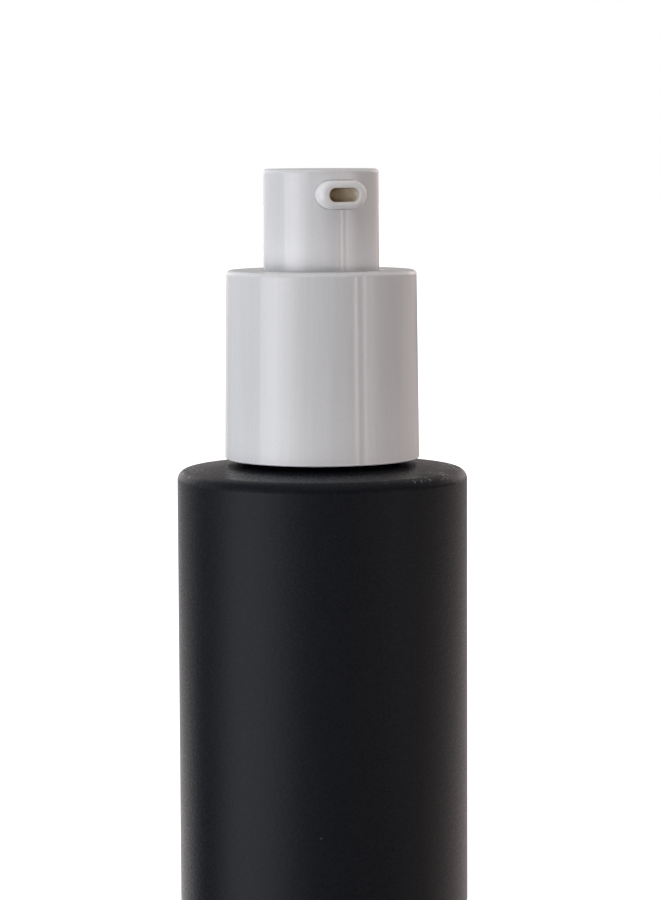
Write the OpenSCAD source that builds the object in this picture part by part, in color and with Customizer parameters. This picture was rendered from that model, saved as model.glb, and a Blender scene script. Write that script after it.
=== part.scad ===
// Foundation bottle: opaque round glass bottle, screw collar and treatment pump with a press head.
// Millimetres. Origin at the centre of the base, +Z up, the nozzle points along -Y.

/* [Bottle] */
// outside diameter of the glass body
bottle_d = 36; // [34:0.5:40]
// height of the shoulder's edge above the table
shoulder_z = 56; // [50:0.5:70]
// how steeply the shoulder rises to the neck, in degrees
shoulder_tilt = 7.5; // [6:0.5:8]
// thickness of the glass side wall
bottle_wall = 2.6; // [2:0.1:3.5]
// thickness of the heavy glass base
base_thick = 9; // [5:0.5:12]
// edge radius where the side meets the shoulder
shoulder_edge_r = 1.3; // [0.6:0.1:2]
// edge radius at the foot
heel_r = 2; // [1:0.1:3]

/* [Neck finish] */
// height of the sealing land above the shoulder's edge
neck_h = 9.4; // [9:0.1:10]
// diameter over the thread crests
thread_d = 19.5; // [19.3:0.05:19.7]
// diameter of the neck between the threads
neck_d = 17.45; // [17.3:0.05:17.6]
// bore of the neck
neck_bore_d = 13; // [12.8:0.1:13.4]
// axial rise of the thread in one turn
thread_pitch = 3.175; // [3.175:0.001:3.18]

/* [Collar] */
// collar diameter at its lower edge
collar_d = 24.1; // [24:0.1:26]
// collar diameter at its top
collar_top_d = 23.55; // [23.4:0.05:24]
// collar height
collar_h = 23.3; // [23:0.05:25]
// height of the collar's lower edge above the shoulder's edge
collar_gap = 1.35; // [1.25:0.05:1.6]
// wall of the collar shell
collar_wall = 1.1; // [1:0.05:1.2]

/* [Press head] */
// head diameter at its top
head_d = 14.2; // [14.1:0.05:14.3]
// how far the head stands above the collar
head_rise = 12.45; // [12:0.05:13]
// depth of the nozzle's centre below the top of the head
nozzle_drop = 3.1; // [2.85:0.05:3.4]
// width of the oval nozzle where it leaves the head
nozzle_w = 6.2; // [5.8:0.1:6.4]
// height of the oval nozzle where it leaves the head
nozzle_h = 3.55; // [3.4:0.05:3.6]
// how far the nozzle stands proud of the head
nozzle_proud = 1.3; // [1.1:0.1:1.8]
// width of the mouth
mouth_w = 3.9; // [3.4:0.1:4]
// height of the mouth
mouth_h = 1.7; // [1.5:0.05:1.8]

/* [Pump] */
// piston travel from rest to the bottom of the stroke
piston_travel = 5.7; // [4:0.1:5.7]
// slip of the stem before it carries the piston, which opens the ports
valve_slip = 0.8; // [0.6:0.1:0.8]
// bore of the pump chamber
chamber_d = 7.6; // [7.4:0.1:7.8]
// outside diameter of the stem
stem_d = 3.9; // [3.8:0.05:3.9]
// outside diameter of the dip tube
tube_d = 3; // [2.8:0.1:3]
// diameter of the inlet ball
ball_d = 2.8; // [2.7:0.05:2.8]

/* [Hidden] */
$fn = 96;

// clearances
run_gap = 0.05;          // sliding fits, on radius
stem_guide_gap = 0.08;   // stem in the chaplet, on radius
rest_gap = 0.02;         // parts that are pressed together
seat_gap = 0.05;         // faces that rest on each other
nozzle_gap = 0.04;       // nozzle in the head's window
shell_gap = 0.1;         // collar shell to screw cap, on radius
tube_gap = 0.03;         // dip tube in its socket, on radius
eps = 0.01;
over = 1;                // how far cutters run past a part
edge_s = 0.2;            // small, middle and large edge breaks
edge_m = 0.3;
edge_l = 0.4;

// heights
land_z = shoulder_z + neck_h;
collar_z = shoulder_z + collar_gap;
collar_top = collar_z + collar_h;
head_top = collar_top + head_rise;
nozzle_z = head_top - nozzle_drop;
gasket_t = 0.75;
gasket_z = land_z + rest_gap;
flange_t = 1.2;
flange_z = gasket_z + gasket_t + rest_gap;
panel_t = 1.1;
panel_z = flange_z + flange_t + seat_gap;
panel_top = panel_z + panel_t;
press = piston_travel + valve_slip;
skirt_clear = 0.45;      // left under the head's skirt at the bottom of the stroke
skirt_z = panel_top + skirt_clear + press;

// radii
body_r = bottle_d / 2;
neck_r = neck_d / 2;
crest_r = thread_d / 2;
bore_r = neck_bore_d / 2;
chamber_r = chamber_d / 2;
stem_r = stem_d / 2;
stem_bore_r = 1.15;
tube_r = tube_d / 2;
tube_bore_r = 0.95;
ball_r = ball_d / 2;

// height of the sloping shoulder at a radius
function shoulder_at(r) = shoulder_z - shoulder_edge_r * (1 - 1 / cos(shoulder_tilt))
    + (body_r - shoulder_edge_r - r) * tan(shoulder_tilt);

// threads: width of each ridge at its root and crest
neck_root_w = 2.2;
neck_crest_w = 0.9;
cap_root_w = 1.7;
cap_crest_w = 0.7;
cap_bore_r = crest_r + 0.15;
cap_crest_r = neck_r + 0.23;
thread_embed = 0.3;      // how far each ridge reaches into its wall
thread_steps = 48;       // sections in one turn
thread_down = 1.9;       // end of the neck's ridge below the land
neck_turns = 1.25;
cap_turns = 1.25;
cap_phase = 90;          // where the collar's ridge starts, in degrees along the neck's
thread_slack = 0.15;     // the collar's ridge rides this far above mid-groove
neck_thread_low = land_z - thread_down - neck_turns * thread_pitch;
cap_thread_low = neck_thread_low + thread_pitch * (cap_phase / 360 - 0.5) + thread_slack;

// collar and head, with their drafts
collar_slope = (collar_d - collar_top_d) / 2 / collar_h;
function collar_r(z) = collar_d / 2 - (z - collar_z) * collar_slope;
head_slope = 0.0063;
function head_r(z) = head_d / 2 + (head_top - z) * head_slope;
head_wall = 1;
head_plate = 1;
head_gap = 0.7;          // head to collar, on radius
collar_plate = 1.2;
collar_hole_r = head_r(collar_top) + head_gap;

// chaplet: the guide pressed into the top of the housing
chaplet_rise = 3.95;
chaplet_depth = 8.05;
chaplet_top = panel_top + chaplet_rise;
chaplet_low = panel_top - chaplet_depth;
chaplet_disc_t = 0.8;
chaplet_disc_r = 5.95;
sleeve_r = 5.2;

// piston, stem and valve rod
piston_len = 7.1;
piston_tuck = 0.45;      // piston inside the chaplet's sleeve at rest
ledge_up = 3.65;         // the piston's inner ledge above its foot
stem_drop = 3.9;         // stem's end below the nozzle
rod_len = 2.85;
rod_head_t = 1.35;
spring_room = 1.9;       // left under the rod at the bottom of the stroke
piston_top = chaplet_low + piston_tuck;
piston_low = piston_top - piston_len;
piston_ledge = piston_low + ledge_up;
stem_low = piston_ledge + valve_slip + seat_gap;
stem_top = nozzle_z - stem_drop;
rod_head_top = piston_low - seat_gap;
rod_foot = rod_head_top - rod_len;
spring_ledge = rod_foot - press - spring_room;

// inlet valve and dip tube
cone_depth = 4.7;        // the ball seat's apex below the chamber
socket_len = 11;
chamber_low = spring_ledge;
ball_roof = chamber_low - edge_m;
cone_apex = chamber_low - cone_depth;
seat_hole_r = 0.8;
seat_top_r = 1.9;
socket_top = cone_apex + 0.1;
socket_low = chamber_low - socket_len;
tube_top = socket_top - edge_s;
tube_lift = 1.6;         // dip tube above the glass floor
tube_low = base_thick + tube_lift;
ball_z = cone_apex + (ball_r + rest_gap) * sqrt(2);

// Solid of revolution from a list of [radius, height] corners
module turned(points) rotate_extrude() polygon(points);

// Helical ridge. side 1 stands outwards from the root radius, side -1 inwards
module ridge(root_r, tip_r, root_w, tip_w, z_low, turns, side) {
    n = ceil(turns * thread_steps);
    fade = 5;                      // sections over which each end rises
    back_r = root_r - side * thread_embed;
    function lift(i) = min(1, max(0.02, min(i, n - i) / fade));
    function section(i) =
        let (a = 360 * i / thread_steps,
             z = z_low + thread_pitch * i / thread_steps,
             k = lift(i),
             tip = root_r + (tip_r - root_r) * k,
             tw = root_w + (tip_w - root_w) * k)
        [for (p = [[back_r, -root_w / 2], [tip, -tw / 2], [tip, tw / 2], [back_r, root_w / 2]])
            [p[0] * cos(a), p[0] * sin(a), z + p[1]]];
    pts = [for (i = [0:n]) each section(i)];
    quads = [for (i = [0:n - 1], j = [0:3])
        let (a = 4 * i + j, b = 4 * i + (j + 1) % 4, c = b + 4, d = a + 4)
        side > 0 ? [a, b, c, d] : [d, c, b, a]];
    ends = side > 0 ? [[3, 2, 1, 0], [4 * n, 4 * n + 1, 4 * n + 2, 4 * n + 3]]
                    : [[0, 1, 2, 3], [4 * n + 3, 4 * n + 2, 4 * n + 1, 4 * n]];
    polyhedron(pts, concat([for (q = quads) each [[q[0], q[1], q[2]], [q[0], q[2], q[3]]]],
                           [for (q = ends) each [[q[0], q[1], q[2]], [q[0], q[2], q[3]]]]));
}

// Flat oval, long side along X
module stadium(w, h, fn = $fn) {
    square([w - h, h], center = true);
    for (s = [-1, 1]) translate([s * (w - h) / 2, 0]) circle(d = h, $fn = fn);
}

// Extrudes its child, drawn in X and Z about the nozzle's centre, from depth y0 out to y1
module forward(y0, y1)
    translate([0, -y0, nozzle_z]) rotate([90, 0, 0]) linear_extrude(y1 - y0) children();

module bottle_outside() {
    foot_r = 13;           // inner radius of the ring it stands on
    punt = 0.8;            // depth of the recess inside that ring
    punt_slope = 1.6;
    root_fillet = 1;
    fillet_r = neck_r + root_fillet;
    root_z = shoulder_at(fillet_r) + root_fillet / cos(shoulder_tilt);
    edge_in_r = body_r - shoulder_edge_r;
    edge_z = shoulder_z - shoulder_edge_r;
    uphill = [sin(shoulder_tilt), cos(shoulder_tilt)];
    difference() {
        union() {
            square([body_r, edge_z]);
            translate([edge_in_r, edge_z]) circle(shoulder_edge_r);
            polygon([[0, edge_z - over], [edge_in_r, edge_z - over],
                     [edge_in_r, edge_z] + shoulder_edge_r * uphill,
                     [fillet_r, root_z] - root_fillet * uphill, [fillet_r, root_z],
                     [neck_r - eps, root_z], [0, root_z]]);
            square([neck_r, land_z - edge_l]);
            square([neck_r - edge_l, land_z]);
            translate([neck_r - edge_l, land_z - edge_l]) circle(edge_l);
        }
        translate([fillet_r, root_z]) circle(root_fillet);
        translate([body_r - heel_r, heel_r]) rotate(-90) difference() {
            square(2 * heel_r);
            circle(heel_r);
        }
        polygon([[0, -over], [foot_r, -over], [foot_r, 0], [foot_r - punt_slope, punt], [0, punt]]);
    }
}

module bottle_inside() {
    inner_r = body_r - bottle_wall;
    floor_r = 3;           // corner radius of the floor
    shoulder_t = 2.5;
    roof_slope = 2.2;      // bevel where the side meets the shoulder
    neck_blend = 1;
    roof_r = inner_r - roof_slope;
    roof_z = shoulder_at(roof_r) - shoulder_t;
    neck_z = shoulder_at(bore_r + neck_blend) - shoulder_t;
    polygon([[0, base_thick], [inner_r - floor_r, base_thick],
             for (a = [15:15:75]) [inner_r - floor_r + floor_r * sin(a),
                                   base_thick + floor_r - floor_r * cos(a)],
             [inner_r, base_thick + floor_r], [inner_r, roof_z - roof_slope],
             [roof_r, roof_z], [bore_r + neck_blend, neck_z],
             [bore_r, neck_z + neck_blend], [bore_r, land_z + over], [0, land_z + over]]);
}

module bottle() {
    color([0.03, 0.03, 0.035]) union() {
        rotate_extrude() difference() {
            bottle_outside();
            bottle_inside();
        }
        ridge(neck_r, crest_r, neck_root_w, neck_crest_w, neck_thread_low, neck_turns, 1);
    }
}

module collar_shell() {
    edge = 0.5;            // radius of the top rim
    foot = 0.12;           // chamfer of the lower rim
    corner = 1;            // bevel inside the top
    ledge_z = panel_top + seat_gap;
    ledge_h = 0.9;
    ledge_r = 9.6;
    ledge_top = ledge_z + 2 * ledge_h;
    inside = collar_top - collar_plate;
    rim_z = collar_top - edge;
    function inner(z) = collar_r(z) - collar_wall;
    color([0.93, 0.93, 0.94]) rotate_extrude() difference() {
        union() {
            polygon([[0, collar_z], [collar_r(collar_z) - foot, collar_z],
                     [collar_r(collar_z + foot), collar_z + foot], [collar_r(rim_z), rim_z],
                     [collar_r(rim_z) - edge, collar_top], [0, collar_top]]);
            translate([collar_r(rim_z) - edge, rim_z]) circle(edge);
        }
        polygon([[0, collar_z - over], [inner(collar_z), collar_z - over], [inner(ledge_z), ledge_z],
                 [ledge_r, ledge_z], [ledge_r, ledge_z + ledge_h], [inner(ledge_top), ledge_top],
                 [inner(inside - corner), inside - corner], [inner(inside) - corner, inside],
                 [collar_hole_r, inside], [collar_hole_r, collar_top - edge_s],
                 [collar_hole_r + edge_s, collar_top], [collar_hole_r + edge_s, collar_top + over],
                 [0, collar_top + over]]);
    }
}

module screw_cap() {
    low = collar_z + edge_s;
    hole_r = 5.3;
    function outer(z) = collar_r(z) - collar_wall - shell_gap;
    color([0.9, 0.9, 0.91]) union() {
        turned([[cap_bore_r + edge_m, low], [outer(low), low],
                [outer(panel_top - edge_l), panel_top - edge_l],
                [outer(panel_top) - edge_l, panel_top], [hole_r, panel_top], [hole_r, panel_z],
                [cap_bore_r, panel_z], [cap_bore_r, low + edge_m]]);
        rotate(cap_phase)
            ridge(cap_bore_r, cap_crest_r, cap_root_w, cap_crest_w, cap_thread_low, cap_turns, -1);
    }
}

module gasket() {
    in_r = 6.7;
    out_r = 9.5;
    color([0.85, 0.85, 0.82])
        turned([[in_r, gasket_z], [out_r, gasket_z],
                [out_r, gasket_z + gasket_t], [in_r, gasket_z + gasket_t]]);
}

module housing() {
    upper_r = 6.1;
    lower_r = 4.9;
    flange_r = 9.3;
    spigot_r = 2.6;        // holds the dip tube
    vent_r = 0.4;
    vent_up = 1.2;         // vent above the chamber's ledge
    cone_h = 3;            // outside cone from spigot to barrel
    mouth_r = sleeve_r + 0.08;
    ledge_z = chaplet_low - 0.3;
    taper_low = ledge_z - 2.2;
    taper_top = ledge_z - 1;
    flange_top = flange_z + flange_t;
    nub_h = 0.6;           // three nubs keep the ball in its pocket
    nub_w = 0.8;
    nub_r = 1.2;
    color([0.88, 0.89, 0.9]) difference() {
        turned([[0, socket_low], [spigot_r - edge_m, socket_low], [spigot_r, socket_low + edge_m],
                [spigot_r, chamber_low - 1 - cone_h], [lower_r, chamber_low - 1],
                [lower_r, taper_low], [upper_r, taper_top], [upper_r, flange_z],
                [flange_r, flange_z], [flange_r, flange_top], [0, flange_top]]);
        turned([[0, chamber_low], [chamber_r, chamber_low], [chamber_r, ledge_z],
                [mouth_r, ledge_z], [mouth_r, flange_top - edge_m], [mouth_r + edge_m, flange_top],
                [mouth_r + edge_m, flange_top + over], [0, flange_top + over]]);
        difference() {
            turned([[0, cone_apex], [seat_hole_r, cone_apex + seat_hole_r],
                    [seat_top_r, cone_apex + seat_top_r], [seat_top_r, chamber_low + eps],
                    [0, chamber_low + eps]]);
            for (a = [0:120:240]) rotate(a)
                translate([nub_r, -nub_w / 2, ball_roof - nub_h]) cube([seat_top_r, nub_w, nub_h]);
        }
        translate([0, 0, cone_apex - seat_hole_r]) cylinder(r = seat_hole_r, h = 2 * seat_hole_r + edge_l);
        translate([0, 0, socket_low - over])
            cylinder(r = tube_r + tube_gap, h = socket_top - socket_low + over);
        translate([0, 0, ledge_z + vent_up]) rotate([0, 90, 0]) cylinder(r = vent_r, h = 8, $fn = 24);
    }
}

module chaplet() {
    disc_z = panel_top + seat_gap;
    disc_top = disc_z + chaplet_disc_t;
    guide_r = stem_r + stem_guide_gap;
    guide_z = chaplet_low + 0.5;
    hub_r = 3;
    slot_r = 4.3;          // ring slot between the hub and the sleeve
    color([0.9, 0.9, 0.91])
        turned([[guide_r, guide_z], [hub_r, guide_z], [hub_r, disc_z], [slot_r, disc_z],
                [slot_r, chaplet_low], [sleeve_r - edge_m, chaplet_low],
                [sleeve_r, chaplet_low + edge_l], [sleeve_r, disc_z], [chaplet_disc_r, disc_z],
                [chaplet_disc_r, disc_top - edge_s], [chaplet_disc_r - edge_s, disc_top],
                [hub_r, disc_top], [hub_r, chaplet_top - edge_m], [hub_r - edge_m, chaplet_top],
                [guide_r, chaplet_top]]);
}

module piston() {
    lip_r = chamber_r - run_gap;
    waist_r = lip_r - 0.7;
    lip_t = 0.25;          // thickness of each lip at its edge
    land = 0.7;            // height of each lip's bearing band
    groove = 1.1;          // depth of the groove behind each lip
    skirt = 1.9;           // height of each lip with its slope
    upper_r = stem_r + run_gap;
    lower_r = 1.45;
    low_in_r = waist_r - 0.5;
    top_in_r = waist_r - edge_m;
    mid = (piston_top + piston_low) / 2 + 0.6;
    color([0.82, 0.84, 0.86])
        turned([[lower_r, piston_low + edge_l], [lower_r + edge_l, piston_low], [low_in_r, piston_low],
                [low_in_r, piston_low + groove], [lip_r - lip_t, piston_low],
                [lip_r, piston_low + edge_s], [lip_r, piston_low + edge_s + land],
                [waist_r, piston_low + skirt], [waist_r, mid],
                [lip_r, piston_top - skirt], [lip_r, piston_top - skirt + land],
                [lip_r - lip_t, piston_top - skirt + land + edge_s],
                [top_in_r, piston_top - skirt - edge_s], [top_in_r, piston_top],
                [upper_r + run_gap, piston_top], [upper_r, piston_top - run_gap],
                [upper_r, piston_ledge], [lower_r, piston_ledge]]);
}

module stem() {
    lead = 0.15;
    color([0.9, 0.9, 0.92])
        turned([[stem_bore_r, stem_low], [stem_r - lead, stem_low], [stem_r, stem_low + lead],
                [stem_r, stem_top - edge_m], [stem_r - edge_m, stem_top], [stem_bore_r, stem_top]]);
}

module valve_rod() {
    neck_r = 1.1;
    plug_r = stem_bore_r - rest_gap;
    plug_h = 6;            // how far the plug reaches into the stem
    plug_top = stem_low + plug_h;
    head_r = 2.6;
    head_z = rod_head_top - rod_head_t;
    head_flat_r = 1.6;
    guide_r = 1.9;
    slot = 0.7;            // two slots let the liquid past the plug
    color([0.85, 0.86, 0.88]) difference() {
        turned([[0, rod_foot], [guide_r - edge_l, rod_foot], [guide_r, rod_foot + edge_l],
                [guide_r, head_z], [head_r, head_z],
                [head_r, rod_head_top - edge_m], [head_flat_r, rod_head_top],
                [neck_r, rod_head_top + edge_m], [neck_r, stem_low], [plug_r, stem_low + seat_gap],
                [plug_r, plug_top - edge_l], [plug_r - edge_l, plug_top], [0, plug_top]]);
        for (s = [-1, 1])
            translate([s * (plug_r - slot / 2), 0, piston_ledge + (plug_h + over) / 2])
                cube([slot, 2 * plug_r, plug_h + over], center = true);
    }
}

module spring() {
    wire = 0.26;
    coil_r = 2.55;
    turns = 6;
    end_gap = 0.03;
    flat = 0.7;            // share of the first and last turns that lies flat
    low = spring_ledge + wire + end_gap;
    high = rod_head_top - rod_head_t - wire - end_gap;
    per_turn = 20;
    sides = 6;
    n = turns * per_turn;
    function rise(t) = low + (high - low) * min(1, max(0, (t * turns - flat) / (turns - 2 * flat)));
    function ring(i) =
        let (a = 360 * i / per_turn, z = rise(i / n))
        [for (j = [0:sides - 1]) let (b = 360 * j / sides, r = coil_r + wire * cos(b))
            [r * cos(a), r * sin(a), z + wire * sin(b)]];
    pts = [for (i = [0:n]) each ring(i)];
    walls = [for (i = [0:n - 1], j = [0:sides - 1])
        let (a = sides * i + j, b = sides * i + (j + 1) % sides) each
        [[a, b + sides, b], [a, a + sides, b + sides]]];
    first = [for (j = [1:sides - 2]) [0, j, j + 1]];
    last = [for (j = [1:sides - 2]) [sides * n, sides * n + j + 1, sides * n + j]];
    color([0.7, 0.7, 0.72]) polyhedron(pts, concat(walls, first, last));
}

module inlet_ball()
    color([0.7, 0.72, 0.74]) translate([0, 0, ball_z]) sphere(ball_r, $fn = 64);

module dip_tube() {
    slant = 35;            // cut of the lower end, in degrees
    color([0.9, 0.9, 0.88]) difference() {
        turned([[tube_bore_r, tube_low], [tube_r, tube_low], [tube_r, tube_top], [tube_bore_r, tube_top]]);
        translate([-tube_d, 0, tube_low - 0.8 * tube_d]) rotate([slant, 0, 0])
            cube([2 * tube_d, 2 * tube_d, tube_d]);
    }
}

module actuator_shell() {
    edge = 0.45;           // radius of the top edge
    side_r = head_r(head_top - edge);
    roof = head_top - head_plate;
    corner = 0.15;         // bevel inside the roof
    color([0.94, 0.94, 0.95]) difference() {
        rotate_extrude() difference() {
            union() {
                polygon([[0, skirt_z], [head_r(skirt_z) - edge_s, skirt_z],
                         [head_r(skirt_z + edge_s), skirt_z + edge_s], [side_r, head_top - edge],
                         [side_r - edge, head_top], [0, head_top]]);
                translate([side_r - edge, head_top - edge]) circle(edge);
            }
            polygon([[0, skirt_z - over], [head_r(skirt_z) - head_wall, skirt_z - over],
                     [head_r(roof) - head_wall, roof - corner],
                     [head_r(roof) - head_wall - corner, roof], [0, roof]]);
        }
        forward(head_d / 2 - 3 * head_wall, head_d / 2 + over)
            stadium(nozzle_w + 2 * nozzle_gap, nozzle_h + 2 * nozzle_gap);
    }
}

module actuator_core() {
    socket_r = 3.4;
    socket_low_z = skirt_z + 4;
    top = head_top - head_plate - seat_gap;
    disc_t = 0.9;
    disc_z = top - disc_t;
    rib_t = 0.8;
    rib_r = head_r(head_top) - head_wall - 2 * nozzle_gap;
    rib_z = nozzle_z - 5.5;
    face = head_d / 2 + nozzle_proud;
    round_depth = 1;       // how far back the nozzle's rounding starts
    bead = 0.3;            // flat lip round the mouth
    mouth_depth = 3.5;
    channel_r = 1.1;
    slice = 0.02;
    // inset is 0 where the rounding starts and 1 at the face
    module section(inset)
        stadium(nozzle_w - inset * (nozzle_w - mouth_w - 2 * bead),
                nozzle_h - inset * (nozzle_h - mouth_h - 2 * bead), 36);
    color([0.93, 0.93, 0.94]) difference() {
        union() {
            translate([0, 0, socket_low_z]) cylinder(r = socket_r, h = disc_z - socket_low_z);
            turned([[0, disc_z - eps], [rib_r, disc_z - eps], [rib_r, top - edge_m],
                    [rib_r - edge_m, top], [0, top]]);
            for (a = [0:90:270]) rotate(a)
                translate([0, -rib_t / 2, rib_z]) cube([rib_r, rib_t, disc_z - rib_z]);
            forward(0, face - round_depth) stadium(nozzle_w, nozzle_h);
            hull() for (a = [0:22.5:90])
                forward(face - round_depth * (1 - sin(a)) - slice, face - round_depth * (1 - sin(a)))
                    section(1 - cos(a));
        }
        translate([0, 0, socket_low_z - over])
            cylinder(r = stem_r + rest_gap, h = stem_top - socket_low_z + over + seat_gap);
        translate([0, 0, socket_low_z]) cylinder(r = channel_r, h = nozzle_z - socket_low_z);
        forward(0, face - mouth_depth + over) circle(r = mouth_h / 2, $fn = 32);
        forward(face - mouth_depth, face + over) stadium(mouth_w, mouth_h);
    }
}

bottle();
collar_shell();
screw_cap();
gasket();
housing();
chaplet();
piston();
stem();
valve_rod();
spring();
inlet_ball();
dip_tube();
actuator_shell();
actuator_core();
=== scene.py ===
import math

import bmesh
import bpy
from mathutils import Matrix, Vector


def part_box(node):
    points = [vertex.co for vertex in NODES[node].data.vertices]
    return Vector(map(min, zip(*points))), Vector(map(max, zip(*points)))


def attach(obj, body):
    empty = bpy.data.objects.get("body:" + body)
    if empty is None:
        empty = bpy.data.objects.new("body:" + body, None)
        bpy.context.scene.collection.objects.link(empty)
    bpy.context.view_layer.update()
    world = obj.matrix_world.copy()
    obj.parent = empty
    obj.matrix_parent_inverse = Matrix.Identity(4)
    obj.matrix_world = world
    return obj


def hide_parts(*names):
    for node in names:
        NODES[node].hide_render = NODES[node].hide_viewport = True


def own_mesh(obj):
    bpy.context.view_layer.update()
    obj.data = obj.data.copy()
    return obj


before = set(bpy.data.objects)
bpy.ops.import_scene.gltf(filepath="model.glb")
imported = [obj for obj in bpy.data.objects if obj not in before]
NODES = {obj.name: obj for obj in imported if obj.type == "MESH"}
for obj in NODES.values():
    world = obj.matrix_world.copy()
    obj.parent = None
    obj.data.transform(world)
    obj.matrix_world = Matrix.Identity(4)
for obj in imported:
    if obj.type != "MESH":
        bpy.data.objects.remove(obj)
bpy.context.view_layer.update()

# A foundation bottle with a treatment pump: the looks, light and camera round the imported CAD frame.
# Lengths are in metres, the nozzle faces -Y and the foot stands on Z = 0.
MM = 0.001

BODY_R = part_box("bottle")[1].x
SHOULDER_Z = 56 * MM          # height of the shoulder's edge
COLLAR_LO, COLLAR_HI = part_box("collar_shell")
CORE_LO, CORE_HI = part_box("actuator_core")
HEAD_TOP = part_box("actuator_shell")[1].z
SPRING_LO, SPRING_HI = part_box("spring")

# ---------------------------------------------------------------- camera
# View angle of the reference: from the left of the nozzle, a little above the head. The values were
# fitted to outlines measured on the reference.
AZIMUTH = math.radians(-20.07)
DISTANCE = 405 * MM
HEIGHT = 97.04 * MM
PITCH = math.radians(5.469)
PAN = math.radians(-0.137)
ROLL = math.radians(-0.267)
LENS = 130.96
SENSOR_WIDTH = 36
CLIP_NEAR, CLIP_FAR = 0.01, 20

TO_CAMERA = Vector((math.sin(AZIMUTH), -math.cos(AZIMUTH), 0))
TO_RIGHT = Vector((math.cos(AZIMUTH), math.sin(AZIMUTH), 0))


def make_camera():
    heading = AZIMUTH + PAN
    forward = Vector((-math.sin(heading) * math.cos(PITCH), math.cos(heading) * math.cos(PITCH),
                      -math.sin(PITCH)))
    level = Vector((math.cos(heading), math.sin(heading), 0))
    upright = level.cross(forward)
    right = level * math.cos(ROLL) + upright * math.sin(ROLL)
    up = upright * math.cos(ROLL) - level * math.sin(ROLL)
    data = bpy.data.cameras.new("camera")
    data.lens = LENS
    data.sensor_width = SENSOR_WIDTH
    data.clip_start = CLIP_NEAR
    data.clip_end = CLIP_FAR
    cam = bpy.data.objects.new("camera", data)
    bpy.context.scene.collection.objects.link(cam)
    pose = Matrix((right, up, -forward)).transposed().to_4x4()
    pose.translation = TO_CAMERA * DISTANCE + Vector((0, 0, HEIGHT))
    cam.matrix_world = pose
    bpy.context.scene.camera = cam


make_camera()
bpy.context.scene.view_settings.view_transform = "Standard"


# ---------------------------------------------------------------- node helpers
class Tree:
    """Short calls for building a node tree."""

    def __init__(self, tree):
        self.t = tree
        tree.nodes.clear()

    def add(self, kind, **values):
        """Adds a node. _name sets a property, i0 is a socket by number, else a socket by name.

        In a socket's name, _ stands for a space.
        """
        node = self.t.nodes.new("ShaderNode" + kind)
        for key, value in values.items():
            if key.startswith("_"):
                setattr(node, key[1:], value)
            elif key[0] == "i" and key[1:].isdigit():
                self.put(node.inputs[int(key[1:])], value)
            else:
                self.put(node.inputs[key.replace("_", " ")], value)
        return node

    def put(self, socket, value):
        if isinstance(value, bpy.types.NodeSocket):
            self.t.links.new(value, socket)
        else:
            socket.default_value = value

    def math(self, op, a, b=0.0, c=0.0, clamp=False):
        return self.add("Math", _operation=op, _use_clamp=clamp, i0=a, i1=b, i2=c).outputs[0]

    def dot(self, a, b):
        return self.add("VectorMath", _operation="DOT_PRODUCT", i0=a, i1=b).outputs["Value"]

    def ramp(self, factor, stops):
        """Colours blended along factor; stops is a list of (position, colour)."""
        node = self.add("ValToRGB", Fac=factor)
        elements = node.color_ramp.elements
        while len(elements) > 1:
            elements.remove(elements[-1])
        elements[0].position = stops[0][0]
        elements[0].color = rgba(stops[0][1])
        for position, colour in stops[1:]:
            elements.new(position).color = rgba(colour)
        return node.outputs["Color"]

    def band(self, value, low, high, to_low=0.0, to_high=1.0):
        """to_low below low, to_high above high, and a soft step between."""
        return self.add("MapRange", _interpolation_type="SMOOTHSTEP", Value=value, From_Min=low,
                        From_Max=high, To_Min=to_low, To_Max=to_high).outputs["Result"]

    def mix(self, factor, a, b):
        return self.add("Mix", _data_type="RGBA", i0=factor, i6=a, i7=b).outputs[2]


def rgba(colour, factor=1.0):
    """A colour as a socket takes it, lightened or darkened by factor."""
    return (*[c * factor for c in colour], 1)


def new_tree(name):
    mat = bpy.data.materials.new(name)
    mat.use_nodes = True
    return mat, Tree(mat.node_tree)


def principled(t, **sockets):
    bsdf = t.add("BsdfPrincipled", **sockets)
    t.add("OutputMaterial", Surface=bsdf.outputs[0])


def place(t, stretch=None):
    """The object's own coordinates, scaled by stretch."""
    where = t.add("TexCoord").outputs["Object"]
    return t.add("Mapping", Vector=where, Scale=stretch).outputs[0] if stretch else where


def noise(t, where, size_mm, detail=2.0, rough=0.5):
    """Noise whose features are about size_mm across."""
    return t.add("TexNoise", Vector=where, Scale=1 / (size_mm * MM), Detail=detail,
                 Roughness=rough).outputs["Fac"]


def cells(t, where, size_mm):
    return t.add("TexVoronoi", _feature="F1", Vector=where, Scale=1 / (size_mm * MM))


def specks(t, where, spacing_mm, size_mm, share):
    """1 inside rare round specks, else 0. share is the part of the cells that hold one."""
    cell = cells(t, where, spacing_mm)
    inside = t.band(cell.outputs["Distance"], size_mm / spacing_mm * 0.35,
                    size_mm / spacing_mm * 0.5, 1, 0)
    pick = t.add("SeparateColor", Color=cell.outputs["Color"]).outputs[0]
    return t.math("MULTIPLY", inside, t.math("LESS_THAN", pick, share))


def dust(t, where, kinds):
    """Two kinds of specks together, each given as (spacing_mm, size_mm, share)."""
    coarse, fine = [specks(t, where, *kind) for kind in kinds]
    return t.math("ADD", coarse, fine, clamp=True)


def bump(t, height, depth_mm, under=None):
    """The normal of a surface that height raises by up to depth_mm, on top of the normal under."""
    node = t.add("Bump", Height=height, Strength=1.0, Distance=depth_mm * MM)
    if under is not None:
        t.put(node.inputs["Normal"], under)
    return node.outputs["Normal"]


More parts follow.
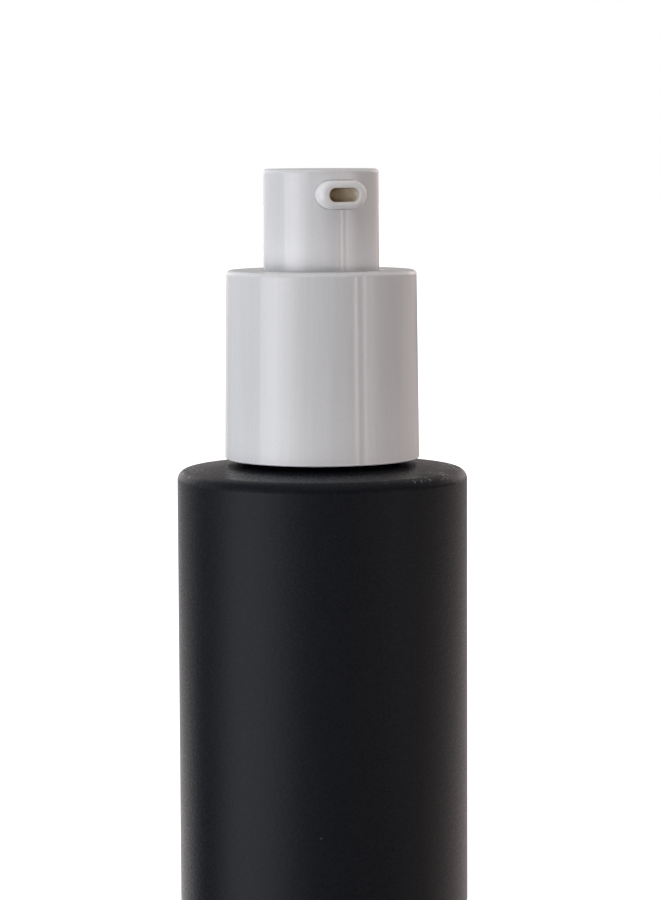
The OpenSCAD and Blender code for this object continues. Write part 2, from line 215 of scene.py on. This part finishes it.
# ---------------------------------------------------------------- light
# Radiance that reaches the object. Each row is a height above the horizon in degrees, its bearings
# and a value for each. Bearing 0 is towards the camera and positive bearings are to its right. A
# row without bearings has one value all round. This isn't a designed light or an example to copy:
# another program fitted most of the values to the brightness of places on the reference, and some
# were then set by hand. A plain soft studio light should take its place.
FINE = [-180, -165, -150, -135, -118, -100, -86, -80, -78, -70, -60, -50, -40, -30, -20, -8, 6, 20,
        32, 38, 42, 45, 49, 53, 57, 62, 70, 84, 102, 130, 156, 180]
COARSE = list(range(-180, 181, 30))
SKY = [
    (-90, None, [0.00]),
    (-35, COARSE, [
        0.25, 0.18, 0, 0, 0, 0, 0, 0, 0, 0, 0.22, 0.29, 0.25]),
    (-14, FINE, [
        0.47, 1.27, 1.53, 1.33, 0.01, 0.02, 1.99, 2.33, 3.5, 3.5, 3.5, 3.5, 3.5, 1.97, 0.5, 0, 0,
        0, 0, 0, 0, 0, 0, 0, 0, 0.14, 0.28, 0.63, 1.23, 1.28, 0.83, 0.47]),
    (-7, FINE, [
        0.29, 0.89, 0.32, 0.39, 0.22, 0.66, 1.49, 1.97, 3.5, 3.5, 3.5, 3.5, 3.5, 3.5, 3.15, 2.73,
        2.48, 2.39, 2.73, 2.42, 1.99, 1.3, 0.5, 3.24, 2.04, 2.09, 2.17, 1.78, 0.99, 0.5, 0.58,
        0.29]),
    (-3, FINE, [
        0.01, 0.99, 0.49, 0.4, 0.34, 0, 0.08, 0.03, 1.54, 2.32, 3.5, 2.94, 2.1, 0.9, 0.13, 0, 0, 0,
        0, 0.14, 3.2, 0, 0, 2.6, 1.11, 1.41, 0.33, 0, 0.07, 0.5, 0.38, 0]),
    (3, FINE, [
        0.43, 1.5, 1.33, 1.5, 0.6, 0.61, 0.96, 0.81, 3.18, 3.5, 3.26, 3.5, 2.43, 0.68, 0, 0, 0, 0,
        0, 0, 3, 0.1, 0.2, 3.6, 1.73, 0.85, 0.67, 0, 0, 0, 1.5, 0.3]),
    (9, COARSE, [
        0.12, 1.5, 0.9, 0.9, 0.9, 0.2, 0, 0, 0.12, 0.4, 0.9, 1.5, 0.12]),
    (32, COARSE, [
        0.15, 1.11, 0.62, 0.45, 0.45, 0.45, 0.45, 0.45, 0.45, 0.45, 0.45, 0.47, 0.15]),
    (90, None, [0.90]),
]
WHITE = (1, 1, 1)
COOL, WARM = (0.975, 0.985, 1.025), (1.12, 0.975, 0.93)
COOLEST = -75      # bearing of the coolest light, with the warmest opposite


def tint(bearing):
    """Cool light from the left, warm from the right."""
    warmth = 0.5 - 0.5 * math.cos(math.radians(bearing - COOLEST))
    return [c + (w - c) * warmth for c, w in zip(COOL, WARM)]


def make_world():
    """The sky lights the object, and the camera sees plain white in its place."""
    world = bpy.data.worlds.new("studio")
    bpy.context.scene.world = world
    world.use_nodes = True
    t = Tree(world.node_tree)
    direction = t.add("TexCoord").outputs["Generated"]
    bearing = t.math("ARCTAN2", t.dot(direction, TO_RIGHT), t.dot(direction, TO_CAMERA))
    turn = t.math("MULTIPLY_ADD", bearing, 1 / math.tau, 0.5)
    height = t.math("ARCSINE", t.dot(direction, Vector((0, 0, 1))))
    colour, below = None, None
    for level, bearings, values in SKY:
        if bearings is None:
            row = rgba(WHITE, values[0])
        else:
            row = t.ramp(turn, [(b / 360 + 0.5, [v * c for c in tint(b)])
                                for b, v in zip(bearings, values)])
        if colour is None:
            colour = row
        else:
            reach = t.add("MapRange", _interpolation_type="LINEAR", Value=height,
                          From_Min=math.radians(below), From_Max=math.radians(level))
            colour = t.mix(reach.outputs["Result"], colour, row)
        below = level
    seen = t.add("LightPath").outputs["Is Camera Ray"]
    lit = t.add("Background", Color=colour, Strength=1.0)
    plain = t.add("Background", Color=rgba(WHITE), Strength=1.0)
    out = t.add("MixShader", i0=seen, i1=lit.outputs[0], i2=plain.outputs[0])
    t.add("OutputWorld", Surface=out.outputs[0])


make_world()

FLOOR_HALF = 4.0
FLOOR_Z = -0.05 * MM
FLOOR_COLOUR = (0.62, 0.62, 0.63)
FLOOR_GLOW = 0.9


def make_floor():
    """A plain pale table that only the camera sees, so the sky alone lights the object."""
    mesh = bpy.data.meshes.new("floor")
    corners = [(x * FLOOR_HALF, y * FLOOR_HALF, FLOOR_Z)
               for x, y in ((-1, -1), (1, -1), (1, 1), (-1, 1))]
    mesh.from_pydata(corners, [], [(0, 1, 2, 3)])
    floor = bpy.data.objects.new("floor", mesh)
    bpy.context.scene.collection.objects.link(floor)
    floor.visible_diffuse = False
    floor.visible_glossy = False
    floor.visible_shadow = False
    mat, t = new_tree("floor")
    principled(t, Base_Color=rgba(FLOOR_COLOUR), Roughness=0.9, Specular_IOR_Level=0.1,
               Emission_Color=rgba(WHITE), Emission_Strength=FLOOR_GLOW)
    mesh.materials.append(mat)


make_floor()


# ---------------------------------------------------------------- materials
# Noise sizes and bump depths are in millimetres.
PLASTIC_IOR = 1.49
COAT_IOR = 1.2                 # suits the fitted light; a real lacquer has about 1.5
STREAK = (1, 1, 0.03)          # draws noise out into lines along the height
WAVE = (1, 1, 0.12)            # draws it out into broad waves

WHITE_PLASTIC = (0.80, 0.81, 0.82)
WHITE_ROUGH = 0.055
WHITE_MOTTLE = 0.028           # how far the white wanders from its own colour
WHITE_DIRT = (0.13, 0.12, 0.11)
WHITE_SPECKS = ((4.3, 0.3, 0.05), (2.1, 0.13, 0.05))
# colour of the painted highlight along the collar's lower edge
PAINTED_EDGE_HIGHLIGHT = (0.96, 0.97, 1.0)
PAINTED_HIGHLIGHT_HEIGHT = 0.2 * MM          # height of the painted highlight along the collar's lower edge

COAT_DARK, COAT_LIGHT = (0.0055, 0.0068, 0.0098), (0.0108, 0.0124, 0.0166)
# rubbed coat, and the painted glints at the left and right sides
COAT_WORN_AND_GLINT = (0.74, 0.73, 0.715)
COAT_DUST = (0.22, 0.21, 0.20)
COAT_SPECKS = ((3.4, 0.22, 0.10), (1.6, 0.12, 0.06))

# Dried foundation in the mouth: the dark pair is painted shade on the left and deep in, the pale pair
# painted light on the right and near the lip.
RESIDUE_IN_PAINTED_SHADE = (0.24, 0.165, 0.065), (0.38, 0.29, 0.15)
RESIDUE_IN_PAINTED_LIGHT = (0.90, 0.81, 0.64), (0.95, 0.91, 0.82)


def gloss_white(name, base, rough, painted_highlight_below=None, top=None):
    """Glossy moulded white with dust, hairlines and faint streaks.

    It is paler below a given height, a painted highlight along its lower edge, and its flat top at
    the height top is finely textured.
    """
    mat, t = new_tree(name)
    where = place(t)
    drawn = place(t, STREAK)
    z = t.add("SeparateXYZ", Vector=where).outputs["Z"]

    speckle = noise(t, where, 0.3, detail=4, rough=0.8)
    streaks = noise(t, drawn, 0.6, detail=4, rough=0.7)
    mottle = t.math("MULTIPLY_ADD", speckle, 0.5, t.math("MULTIPLY", streaks, 0.5))
    shade = t.mix(t.band(mottle, 0.35, 0.65), rgba(base, 1 - WHITE_MOTTLE),
                  rgba(base, 1 + WHITE_MOTTLE))
    dirt = t.math("MULTIPLY", dust(t, where, WHITE_SPECKS), 0.75)
    colour = t.mix(dirt, shade, rgba(WHITE_DIRT))
    # painted highlight: paler along the lower edge, below the given height
    if painted_highlight_below is not None:
        colour = t.mix(t.band(z, painted_highlight_below, painted_highlight_below + 0.1 * MM, 0.9, 0), colour, rgba(PAINTED_EDGE_HIGHLIGHT))

    uneven = t.math("MULTIPLY_ADD", noise(t, where, 2.6, detail=4), 0.03, rough - 0.018)
    hair = t.band(noise(t, drawn, 0.35, detail=4, rough=0.6), 0.6, 0.78)
    roughness = t.math("ADD", uneven, t.math("MULTIPLY", hair, 0.05))
    if top is not None:
        texture = t.band(z, top - 0.12 * MM, top - 0.01 * MM, 0, 0.34)
        roughness = t.math("ADD", roughness, texture)

    wave = bump(t, noise(t, place(t, WAVE), 5), depth_mm=0.005)
    peel = bump(t, noise(t, where, 0.55, detail=3), depth_mm=0.0004, under=wave)
    principled(t, Base_Color=colour, Roughness=roughness, Normal=peel, IOR=PLASTIC_IOR)
    return mat


def coat_wear_and_glints(t, where):
    """1 where the coat is rubbed and where glints are painted: flecks in patches round the shoulder's
    edge, more at the sides.

    The sides are those that face left and right in the reference, and the extra flecks there are
    painted glints.
    """
    axes = t.add("SeparateXYZ", Vector=where)
    flat = t.add("CombineXYZ", X=axes.outputs["X"], Y=axes.outputs["Y"]).outputs[0]
    radius = t.add("VectorMath", _operation="LENGTH", i0=flat).outputs["Value"]
    edge = t.math("MULTIPLY",
                  t.band(axes.outputs["Z"], SHOULDER_Z - 0.7 * MM, SHOULDER_Z - 0.25 * MM),
                  t.band(radius, BODY_R - 4.0 * MM, BODY_R - 1.9 * MM))
    # painted glints: more pale flecks at the sides that face left and right of the camera
    across = t.math("MULTIPLY", t.dot(where, TO_RIGHT), 1 / BODY_R)
    sides = t.math("ADD", t.band(across, 0.45, 0.8), t.band(across, -0.95, -0.8, 1, 0), clamp=True)
    side_glints = t.math("MULTIPLY", sides, t.band(noise(t, where, 4), 0.40, 0.56))
    patch = t.math("MAXIMUM", side_glints, t.band(noise(t, where, 6), 0.58, 0.74))
    flecks = t.band(noise(t, where, 0.45, detail=6, rough=0.85), 0.545, 0.60)
    return t.math("MULTIPLY", t.math("MULTIPLY", edge, patch), flecks)


def coated_black():
    """Satin black coat on glass: fine grain, dust caught on it, rubbed pale round the shoulder, with
    painted glints at the sides.
    """
    mat, t = new_tree("black_coat")
    where = place(t)
    grain = noise(t, where, 0.5, detail=4, rough=0.8)
    cloud = noise(t, where, 6, detail=4)
    wear_and_glints = coat_wear_and_glints(t, where)

    fade = t.math("MULTIPLY_ADD", grain, 1.6, t.math("MULTIPLY_ADD", cloud, 0.5, -0.55),
                  clamp=True)
    coat = t.mix(fade, rgba(COAT_DARK), rgba(COAT_LIGHT))
    worn_and_glinting = t.mix(wear_and_glints, coat, rgba(COAT_WORN_AND_GLINT))
    dusty = t.math("MULTIPLY", dust(t, where, COAT_SPECKS), 0.4)
    colour = t.mix(dusty, worn_and_glinting, rgba(COAT_DUST))

    rough = t.math("MULTIPLY_ADD", cloud, 0.06, t.math("MULTIPLY_ADD", grain, 0.30, 0.10))
    rough = t.math("MULTIPLY_ADD", wear_and_glints, 0.2, rough)
    soft = bump(t, noise(t, where, 3.5), depth_mm=0.004)
    fine = bump(t, grain, depth_mm=0.035, under=soft)
    principled(t, Base_Color=colour, Roughness=rough, Normal=fine, IOR=COAT_IOR)
    return mat


def moulded(name, base, rough, translucent=0.0):
    """Polypropylene as it leaves the mould."""
    mat, t = new_tree(name)
    where = place(t)
    shade = t.mix(noise(t, where, 3, detail=3), rgba(base, 0.95), rgba(base))
    roughness = t.math("MULTIPLY_ADD", noise(t, where, 0.8, detail=4), 0.16, rough - 0.08)
    normal = bump(t, noise(t, where, 0.2, detail=3), depth_mm=0.002)
    principled(t, Base_Color=shade, Roughness=roughness, Normal=normal, IOR=PLASTIC_IOR,
               Transmission_Weight=translucent)
    return mat


def liner():
    """Closed-cell foam liner."""
    mat, t = new_tree("foam_liner")
    bubbles = cells(t, place(t), 0.18).outputs["Distance"]
    shade = t.mix(bubbles, rgba((0.70, 0.70, 0.67)), rgba((0.82, 0.82, 0.79)))
    principled(t, Base_Color=shade, Roughness=0.8, Normal=bump(t, bubbles, depth_mm=0.01))
    return mat


def bright_steel():
    """Drawn stainless wire and a ground ball."""
    mat, t = new_tree("bright_steel")
    where = place(t)
    shade = t.mix(noise(t, where, 0.8, detail=3), rgba((0.56, 0.56, 0.57)),
                  rgba((0.68, 0.68, 0.69)))
    rings = noise(t, place(t, (1, 1, 6)), 0.3, detail=4)
    roughness = t.math("MULTIPLY_ADD", rings, 0.14, 0.16)
    normal = bump(t, noise(t, where, 0.12, detail=3), depth_mm=0.001)
    principled(t, Base_Color=shade, Metallic=1.0, Roughness=roughness, Normal=normal)
    return mat


def residue_with_painted_shade():
    """Dried foundation in the nozzle, with painted shade on the left and deep in, and painted light
    on the right and at the lip.
    """
    mat, t = new_tree("dried_foundation_and_painted_shade")
    where = place(t)
    axes = t.add("SeparateXYZ", Vector=where)
    x, y = axes.outputs["X"], axes.outputs["Y"]
    cloud = t.band(noise(t, where, 0.7, detail=5, rough=0.6), 0.3, 0.7)
    shaded_residue = t.mix(cloud, *map(rgba, RESIDUE_IN_PAINTED_SHADE))
    lit_residue = t.mix(cloud, *map(rgba, RESIDUE_IN_PAINTED_LIGHT))
    # painted light: the mouth's right side is paler and its left side darker
    painted_lit_side = t.band(x, -0.9 * MM, 2.2 * MM)
    ragged = t.math("MULTIPLY_ADD", noise(t, where, 0.5, detail=3), 0.3, -0.15)
    # painted shade: paler near the lip and darker deeper into the mouth
    near_lip = t.band(y, CORE_LO.y + 0.2 * MM, CORE_LO.y + 1.6 * MM, 0.8, 0)
    pale_near_lip = t.math("MULTIPLY", t.math("ADD", near_lip, ragged, clamp=True),
                   t.band(x, -1.5 * MM, 0.5 * MM))
    shade = t.mix(t.math("MAXIMUM", painted_lit_side, pale_near_lip), shaded_residue, lit_residue)
    roughness = t.math("MULTIPLY_ADD", noise(t, where, 0.4, detail=3), 0.3, 0.35)
    normal = bump(t, noise(t, where, 0.35, detail=4), depth_mm=0.02)
    principled(t, Base_Color=shade, Roughness=roughness, Normal=normal)
    return mat


head_white = gloss_white("white_gloss", WHITE_PLASTIC, WHITE_ROUGH, top=HEAD_TOP)
collar_white = gloss_white("collar_gloss", WHITE_PLASTIC, WHITE_ROUGH,
                           painted_highlight_below=COLLAR_LO.z + PAINTED_HIGHLIGHT_HEIGHT, top=COLLAR_HI.z)
# lighter than the head's white: painted light on the nozzle's face
core_white_painted_light = gloss_white("white_core", base=(0.91, 0.915, 0.92), rough=0.14)
black = coated_black()
plain_plastic = moulded("white_moulded", base=(0.82, 0.82, 0.83), rough=0.42)
natural = moulded("natural_moulded", base=(0.80, 0.82, 0.84), rough=0.36, translucent=0.35)
foam = liner()
steel = bright_steel()
mouth_residue_and_shade = residue_with_painted_shade()

FINISH = {
    "bottle": black,
    "collar_shell": collar_white,
    "actuator_shell": head_white,
    "actuator_core": core_white_painted_light,
    "screw_cap": plain_plastic,
    "chaplet": plain_plastic,
    "stem": plain_plastic,
    "gasket": foam,
    "housing": natural,
    "piston": natural,
    "valve_rod": natural,
    "dip_tube": natural,
    "spring": steel,
    "inlet_ball": steel,
}
for node_name, finish in FINISH.items():
    node_materials = NODES[node_name].data.materials
    node_materials.clear()
    node_materials.append(finish)


# ---------------------------------------------------------------- mesh helpers
def add_piece(name, bm, body, slot, materials, *replaced):
    """Turns bm into a smooth object that rides body and replaces the CAD nodes named."""
    bmesh.ops.recalc_face_normals(bm, faces=bm.faces[:])
    mesh = bpy.data.meshes.new(name)
    bm.to_mesh(mesh)
    bm.free()
    for m in materials:
        mesh.materials.append(m)
    obj = bpy.data.objects.new(name, mesh)
    bpy.context.scene.collection.objects.link(obj)
    for p in mesh.polygons:
        p.use_smooth = True
    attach(obj, body)
    if replaced:
        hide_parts(*replaced)
    return obj


def bridge(bm, rings, material=0, closed_start=False, closed_end=False):
    """Quads between rings of equal length; each ring is a list of points."""
    verts = [[bm.verts.new(p) for p in ring] for ring in rings]
    n = len(verts[0])
    faces = []
    for a, b in zip(verts, verts[1:]):
        for i in range(n):
            faces.append(bm.faces.new((a[i], a[(i + 1) % n], b[(i + 1) % n], b[i])))
    if closed_start:
        faces.append(bm.faces.new(verts[0][::-1]))
    if closed_end:
        faces.append(bm.faces.new(verts[-1]))
    for f in faces:
        f.material_index = material


def turned(profile, n=72):
    """Rings round the Z axis, one for each (radius, height) of the profile."""
    return [[Vector((r * math.cos(math.tau * i / n), r * math.sin(math.tau * i / n), z))
             for i in range(n)] for r, z in profile]


# ---------------------------------------------------------------- nozzle
NOZZLE_Z = HEAD_TOP - 3.1 * MM
FACE_Y = -CORE_LO.y                       # from the axis to the nozzle's face
ROOT_Y = (5.9 * MM, 6.6 * MM)             # where the nozzle starts, inside the head's wall
NOZZLE_W, NOZZLE_H = 6.2 * MM, 3.55 * MM
MOUTH_W, MOUTH_H = 3.9 * MM, 1.7 * MM
BEAD = 0.3 * MM                           # flat width between the round edge and the mouth
NOSE = 1.0 * MM                           # depth of the round edge
NOSE_STEPS = 10
FILLET = 0.09 * MM                        # round edge of the mouth
FILLET_STEPS = 5
CLEAN_MM = 0.22                           # depth of the mouth that stays clean
# The channel with dried foundation and painted shade, as how much narrower than the mouth it is and
# how far behind the face, in mm.
CHANNEL_MM = ((0, CLEAN_MM), (0.02, 0.7), (0.05, 1.3), (0.12, 1.8), (0.4, 2.15), (0.9, 2.25))

BORE_R, BORE_DEPTH = 1.97 * MM, 6.8 * MM  # socket on the stem
TUBE_R = 3.4 * MM
PLATE_R, PLATE_T = 6.0 * MM, 1.0 * MM     # plate under the head's top
TUBE_BEVEL, PLATE_BEVEL = 0.15 * MM, 0.1 * MM
BORE_BEVEL = 0.13 * MM


def oval(w, h, y, n=96):
    """Ring of n points on an oval of width w and height h, which faces -Y at y from the axis."""
    r = h / 2
    straight = (w - h) / 2
    pts = []
    for k in range(n):
        a = math.tau * k / n
        c, s = math.cos(a), math.sin(a)
        side = straight if c > 1e-9 else -straight if c < -1e-9 else 0
        pts.append(Vector((c * r + side, -y, NOZZLE_Z + s * r)))
    return pts


def nozzle_rings():
    """From the head out to the face, over the bead and just into the mouth."""
    rings = [oval(NOZZLE_W, NOZZLE_H, y) for y in ROOT_Y]
    for k in range(NOSE_STEPS + 1):
        a = math.pi / 2 * k / NOSE_STEPS
        inset = 1 - math.cos(a)
        rings.append(oval(NOZZLE_W - inset * (NOZZLE_W - MOUTH_W - 2 * BEAD),
                          NOZZLE_H - inset * (NOZZLE_H - MOUTH_H - 2 * BEAD),
                          FACE_Y - NOSE * (1 - math.sin(a))))
    for k in range(1, FILLET_STEPS + 1):
        a = math.pi / 2 * k / FILLET_STEPS
        grow = 2 * FILLET * (1 - math.sin(a))
        rings.append(oval(MOUTH_W + grow, MOUTH_H + grow, FACE_Y - FILLET * (1 - math.cos(a))))
    rings.append(oval(MOUTH_W, MOUTH_H, FACE_Y - CLEAN_MM * MM))
    return rings


def core_profile():
    """The socket on the stem, the tube round it and the plate, as (radius, height)."""
    foot, top = CORE_LO.z, CORE_HI.z
    return [
        (BORE_R, foot + BORE_DEPTH),
        (BORE_R, foot + TUBE_BEVEL),
        (BORE_R + BORE_BEVEL, foot),
        (TUBE_R - TUBE_BEVEL, foot),
        (TUBE_R, foot + TUBE_BEVEL),
        (TUBE_R, top - PLATE_T),
        (PLATE_R - PLATE_BEVEL, top - PLATE_T + PLATE_BEVEL),
        (PLATE_R, top - PLATE_T + 2 * PLATE_BEVEL),
        (PLATE_R, top - PLATE_BEVEL),
        (PLATE_R - PLATE_BEVEL, top),
    ]


def nozzle_core():
    """The oval nozzle, its mouth with dried product and painted shade, and the socket that grips the
    stem.
    """
    bm = bmesh.new()
    bridge(bm, nozzle_rings())
    channel = [oval(MOUTH_W - shrink * MM, MOUTH_H - shrink * MM, FACE_Y - back * MM)
               for shrink, back in CHANNEL_MM]
    bridge(bm, channel, material=1, closed_end=True)
    bridge(bm, turned(core_profile()), closed_start=True, closed_end=True)
    bmesh.ops.remove_doubles(bm, verts=bm.verts[:], dist=1e-7)
    add_piece("nozzle_core", bm, "head", "white_core", [core_white_painted_light, mouth_residue_and_shade], "actuator_core")


nozzle_core()


# ---------------------------------------------------------------- spring
WIRE_R = 0.26 * MM
COIL_R = SPRING_HI.x - WIRE_R
TURNS = 6
FLAT_TURNS = 0.7      # the share of the first and of the last turn that lies flat
CUT_TURN = 4.6        # the coil below follows the stroke, the coil above follows the stem's slip
EASE = 0.1            # how far the pitch eases in from the flat ends
STEPS_PER_TURN, WIRE_SIDES = 40, 14


def coil_height(turn):
    """Height of the wire's middle after so many turns from the bottom."""
    share = min(1, max(0, (turn - FLAT_TURNS) / (TURNS - 2 * FLAT_TURNS)))
    share = (1 - EASE) * share + EASE * share * share * (3 - 2 * share)
    return SPRING_LO.z + WIRE_R + (SPRING_HI.z - SPRING_LO.z - 2 * WIRE_R) * share


def coil(start, end):
    """Round wire wound from one turn to another."""
    steps = round((end - start) * STEPS_PER_TURN)
    rings = []
    for i in range(steps + 1):
        turn = start + (end - start) * i / steps
        a, z = math.tau * turn, coil_height(turn)
        ring = []
        for k in range(WIRE_SIDES):
            b = math.tau * k / WIRE_SIDES
            r = COIL_R + WIRE_R * math.cos(b)
            ring.append(Vector((r * math.cos(a), r * math.sin(a), z + WIRE_R * math.sin(b))))
        rings.append(ring)
    bm = bmesh.new()
    bridge(bm, rings, closed_start=True, closed_end=True)
    return bm


def return_spring():
    """The spring, cut where the two joints that shorten it meet."""
    low = add_piece("return_spring", coil(0, CUT_TURN), "pump", "spring_steel", [steel], "spring")
    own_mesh(low)
    top = add_piece("spring_top_turn", coil(CUT_TURN, TURNS), "piston", "spring_steel", [steel])
    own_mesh(top)


return_spring()
